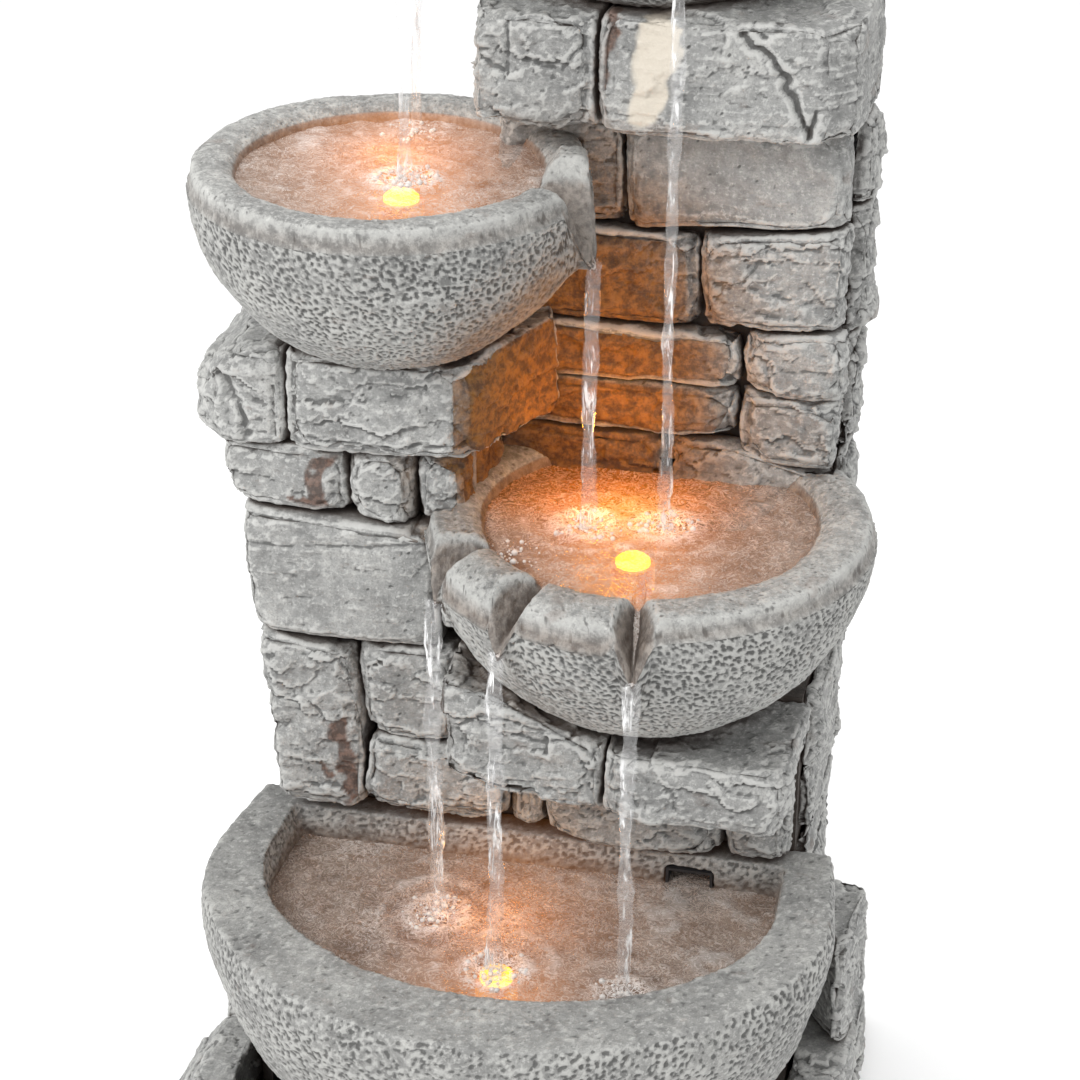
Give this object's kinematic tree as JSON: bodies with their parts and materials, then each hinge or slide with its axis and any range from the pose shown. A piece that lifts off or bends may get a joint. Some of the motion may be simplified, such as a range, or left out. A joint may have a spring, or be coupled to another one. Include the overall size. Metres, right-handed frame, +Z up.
{
  "type": "tiered water fountain",
  "caption": "Free-standing stacked-stone fountain: water falls from bowl to bowl down a stone tower into a wide basin, with lights under the water.",
  "frame": {"origin": "on the ground under the middle of the basin's width, where the rubber feet stand", "axes": "+Z up, +Y to the back of the tower, +X to the right seen from the front"},
  "size_m": [0.484, 0.4273, 0.943],
  "materials": {
    "split_stone": "matt cast stone with the relief of split slate, grey with pale worn arrises and brown shading in the joints",
    "cast_bowl": "matt cast stone, hammered and pitted, with flatter paler rims",
    "cast_shell": "matt glass-fibre and resin casting coloured as stone",
    "black_plastic": "satin moulded plastic",
    "black_rubber": "matt rubber",
    "cable_sheath": "smooth flexible sheath",
    "door_panel": "matt moulded panel coloured as stone",
    "knob_plastic": "blue moulded plastic",
    "hose_vinyl": "smooth flexible hose",
    "clamp_steel": "plain steel strip",
    "amber_lens": "translucent amber dome, lit",
    "lit_resin": "cloudy potting resin, lit amber from inside",
    "shaft_ceramic": "polished ceramic pin"
  },
  "bodies": {
    "root": {"base_plate": "black_plastic", "base_plinth": "cast_shell", "base_stones_front": "split_stone", "base_stones_left": "split_stone", "base_stones_right": "split_stone", "bowl_back_stones": "split_stone", "cable_gland": "black_plastic", "column_stone_b_left": "split_stone", "column_stone_b_right": "split_stone", "column_stone_c_left": "split_stone", "column_stone_c_right": "split_stone", "column_stone_d_left": "split_stone", "column_stone_d_right": "split_stone", "column_stone_e_left": "split_stone", "column_stone_e_right": "split_stone", "hose_clamps": "clamp_steel", "impeller_shaft": "shaft_ceramic", "junction_box": "black_plastic", "left_bowl": "cast_bowl", "left_ledge_inner": "split_stone", "left_ledge_outer": "split_stone", "left_side_stones": "split_stone", "light_grommets": "black_rubber", "light_housings": "lit_resin", "light_leads": "cable_sheath", "light_lenses": "amber_lens", "lower_basin": "cast_bowl", "nook_side_stones": "split_stone", "pier_block_big": "split_stone", "pier_block_low": "split_stone", "pier_block_middle": "split_stone", "pier_block_small": "split_stone", "pier_course_left": "split_stone", "pier_course_middle": "split_stone", "pier_course_right": "split_stone", "pond_wall_stones": "split_stone", "pump_cover": "black_plastic", "pump_housing": "black_plastic", "pump_lead": "cable_sheath", "pump_sump": "black_plastic", "right_bowl": "cast_bowl", "right_ledge_left": "split_stone", "right_ledge_right": "split_stone", "right_side_stones": "split_stone", "riser_hose": "hose_vinyl", "rubber_feet": "black_rubber", "suction_cups": "black_rubber", "tall_corner_stone": "split_stone", "top_bowl": "cast_bowl", "top_outlet": "black_plastic", "top_slab_left": "split_stone", "top_slab_right": "split_stone", "tower_core": "cast_shell"},
    "door": {"rear_door": "door_panel", "door_seal": "black_rubber"},
    "drain_stopper": {"drain_plug": "black_rubber"},
    "screen": {"inlet_screen": "black_plastic"},
    "strainer": {"pump_strainer": "black_plastic"},
    "rotor": {"impeller": "black_plastic"},
    "knob": {"flow_knob": "knob_plastic"}
  },
  "joints": [
    {"name": "door_lift_off", "type": "slide", "parent": "root", "child": "door", "axis": [0, 1, 0], "range_m": [0, 0.04]},
    {"name": "drain_plug_pull", "type": "slide", "parent": "root", "child": "drain_stopper", "axis": [0, 0, 1], "range_m": [0, 0.03]},
    {"name": "inlet_screen_pull", "type": "slide", "parent": "root", "child": "screen", "axis": [0, -1, 0], "range_m": [0, 0.03]},
    {"name": "strainer_pull", "type": "slide", "parent": "root", "child": "strainer", "axis": [0, -1, 0], "range_m": [0, 0.02]},
    {"name": "impeller_spin", "type": "hinge", "parent": "root", "child": "rotor", "pos_m": [0.02, 0.115, 0.145], "axis": [0, 1, 0], "continuous": true},
    {"name": "flow_knob_turn", "type": "hinge", "parent": "root", "child": "knob", "pos_m": [0.052, 0.128, 0.145], "axis": [1, 0, 0], "range_deg": [0, 90]}
  ]
}
